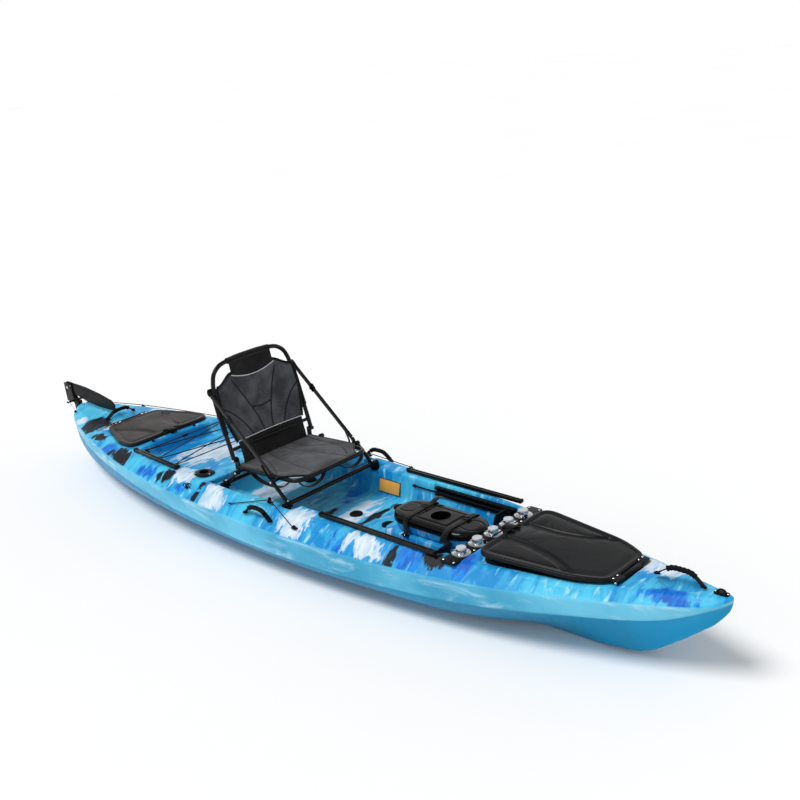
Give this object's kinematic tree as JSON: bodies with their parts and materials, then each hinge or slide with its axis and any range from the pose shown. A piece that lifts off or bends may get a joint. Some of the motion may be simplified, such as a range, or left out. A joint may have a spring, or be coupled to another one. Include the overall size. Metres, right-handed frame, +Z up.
{
  "type": "sit-on-top fishing kayak",
  "caption": "Rotomoulded sit-on-top fishing kayak with framed seat, hatches, foot-steered flip-down rudder, gear rails, pod and rod holders.",
  "frame": {"origin": "on the flat keel strip, amidships", "axes": "+X towards the bow, +Y to port, +Z up"},
  "size_m": [4.0886, 0.8288, 0.8271],
  "materials": {
    "hull": "satin rotomoulded polyethylene, blue, white and black brush camouflage",
    "black_plastic": "satin black moulded plastic",
    "lid_rubber": "satin black moulded lid, fine grain",
    "rear_lid": "satin dark grey-brown moulded lid, fine grain",
    "anodised": "black anodised aluminium",
    "steel": "bright stainless steel",
    "silver_cap": "satin silver-grey plastic",
    "rubber": "matt black rubber",
    "seat_mesh": "grey woven mesh over padding, black bound edges",
    "webbing": "black woven webbing",
    "cord": "black braided shock cord"
  },
  "bodies": {
    "root": {"hull": "hull", "front_rail_port": "anodised", "rear_rail_port": "anodised", "front_rail_starboard": "anodised", "rear_rail_starboard": "anodised", "accessory_board": "black_plastic", "board_mount_1": "steel", "board_mount_2": "steel", "board_mount_3": "steel", "board_mount_4": "steel", "board_mount_5": "steel", "front_hatch_gasket": "rubber", "front_hatch_hinge": "black_plastic", "front_hatch_pin": "steel", "rear_hatch_gasket": "rubber", "rear_hatch_hinge": "black_plastic", "rear_hatch_pin": "steel", "rudder_bracket": "black_plastic", "rudder_pin": "steel", "foot_track_port": "black_plastic", "foot_track_starboard": "black_plastic", "pod_tub": "black_plastic", "pod_cover": "black_plastic", "pod_strap_aft": "webbing", "pod_strap_fore": "webbing", "rod_holder_port": "black_plastic", "rod_holder_starboard": "black_plastic", "seat_frame": "anodised", "seat_front_leg": "anodised", "seat_rear_leg": "anodised", "seat_pad": "seat_mesh", "back_strap_port": "webbing", "back_strap_starboard": "webbing", "tankwell_bungee": "cord", "rudder_lift_line": "cord", "paddle_bungee_port": "cord", "paddle_bungee_starboard": "cord"},
    "front_hatch": {"front_hatch_lid": "lid_rubber"},
    "front_latch": {"front_hatch_latch": "black_plastic"},
    "rear_hatch": {"rear_hatch_lid": "rear_lid"},
    "rear_latch": {"rear_hatch_latch": "black_plastic"},
    "bow_handle": {"bow_handle": "rubber"},
    "stern_handle": {"stern_handle": "rubber"},
    "side_handle_port": {"side_handle_port": "rubber"},
    "side_handle_starboard": {"side_handle_starboard": "rubber"},
    "rudder_yoke": {"rudder_yoke": "black_plastic", "blade_pin": "steel"},
    "rudder_blade": {"rudder_blade": "black_plastic"},
    "foot_slider_port": {"foot_slider_port": "black_plastic"},
    "foot_slider_starboard": {"foot_slider_starboard": "black_plastic"},
    "foot_pedal_port": {"foot_pedal_port": "black_plastic"},
    "foot_pedal_starboard": {"foot_pedal_starboard": "black_plastic"},
    "seat_back": {"seat_back_frame": "anodised", "back_pad": "seat_mesh"},
    "mount_cap_1": {"mount_cap_1": "silver_cap"},
    "mount_cap_2": {"mount_cap_2": "silver_cap"},
    "mount_cap_3": {"mount_cap_3": "silver_cap"},
    "mount_cap_4": {"mount_cap_4": "silver_cap"},
    "mount_cap_5": {"mount_cap_5": "silver_cap"}
  },
  "joints": [
    {"name": "front_hatch_hinge", "type": "hinge", "parent": "root", "child": "front_hatch", "pos_m": [1.5917, 0, 0.30617], "axis": [0, 1, 0], "range_deg": [0, 105]},
    {"name": "front_latch_hinge", "type": "hinge", "parent": "front_hatch", "child": "front_latch", "pos_m": [1.08147, 0, 0.30884], "axis": [0, 1, 0], "range_deg": [0, 90]},
    {"name": "rear_hatch_hinge", "type": "hinge", "parent": "root", "child": "rear_hatch", "pos_m": [-1.494, 0, 0.2935], "axis": [0, -1, 0], "range_deg": [0, 100]},
    {"name": "rear_latch_hinge", "type": "hinge", "parent": "rear_hatch", "child": "rear_latch", "pos_m": [-1.147, 0, 0.309], "axis": [0, -1, 0], "range_deg": [0, 90]},
    {"name": "bow_handle_swing", "type": "hinge", "parent": "root", "child": "bow_handle", "pos_m": [1.778, 0, 0.32795], "axis": [1, 0, 0], "range_deg": [-35, 35]},
    {"name": "stern_handle_swing", "type": "hinge", "parent": "root", "child": "stern_handle", "pos_m": [-1.58, 0, 0.30357], "axis": [0, 1, 0], "range_deg": [-20, 45]},
    {"name": "side_handle_port_swing", "type": "hinge", "parent": "root", "child": "side_handle_port", "pos_m": [-0.005, 0.38, 0.254], "axis": [1, 0, 0], "range_deg": [-25, 25]},
    {"name": "side_handle_starboard_swing", "type": "hinge", "parent": "root", "child": "side_handle_starboard", "pos_m": [-0.005, -0.38, 0.254], "axis": [1, 0, 0], "range_deg": [-25, 25]},
    {"name": "rudder_yaw", "type": "hinge", "parent": "root", "child": "rudder_yoke", "pos_m": [-2.01, 0, 0.27], "axis": [0, 0, 1], "range_deg": [-35, 35]},
    {"name": "rudder_lift", "type": "hinge", "parent": "rudder_yoke", "child": "rudder_blade", "pos_m": [-2.075, 0, 0.378], "axis": [0, -1, 0], "range_deg": [0, 262]},
    {"name": "foot_adjust_port", "type": "slide", "parent": "root", "child": "foot_slider_port", "axis": [-1, 0, 0], "range_m": [0, 0.2]},
    {"name": "pedal_tilt_port", "type": "hinge", "parent": "foot_slider_port", "child": "foot_pedal_port", "pos_m": [0.858, 0.178, 0.196], "axis": [0, 1, 0], "range_deg": [-20, 20]},
    {"name": "foot_adjust_starboard", "type": "slide", "parent": "root", "child": "foot_slider_starboard", "axis": [-1, 0, 0], "range_m": [0, 0.2]},
    {"name": "pedal_tilt_starboard", "type": "hinge", "parent": "foot_slider_starboard", "child": "foot_pedal_starboard", "pos_m": [0.858, -0.178, 0.196], "axis": [0, 1, 0], "range_deg": [-20, 20]},
    {"name": "seat_recline", "type": "hinge", "parent": "root", "child": "seat_back", "pos_m": [-0.3, 0, 0.396], "axis": [0, 1, 0], "range_deg": [-12, 95]},
    {"name": "mount_cap_1_pull", "type": "slide", "parent": "root", "child": "mount_cap_1", "axis": [0, 0, 1], "range_m": [0, 0.03]},
    {"name": "mount_cap_2_pull", "type": "slide", "parent": "root", "child": "mount_cap_2", "axis": [0, 0, 1], "range_m": [0, 0.03]},
    {"name": "mount_cap_3_pull", "type": "slide", "parent": "root", "child": "mount_cap_3", "axis": [0, 0, 1], "range_m": [0, 0.03]},
    {"name": "mount_cap_4_pull", "type": "slide", "parent": "root", "child": "mount_cap_4", "axis": [0, 0, 1], "range_m": [0, 0.03]},
    {"name": "mount_cap_5_pull", "type": "slide", "parent": "root", "child": "mount_cap_5", "axis": [0, 0, 1], "range_m": [0, 0.03]}
  ],
  "couplings": [
    {"joint": "pedal_tilt_port", "follows": "rudder_yaw", "ratio": -0.57},
    {"joint": "pedal_tilt_starboard", "follows": "rudder_yaw", "ratio": 0.57}
  ]
}
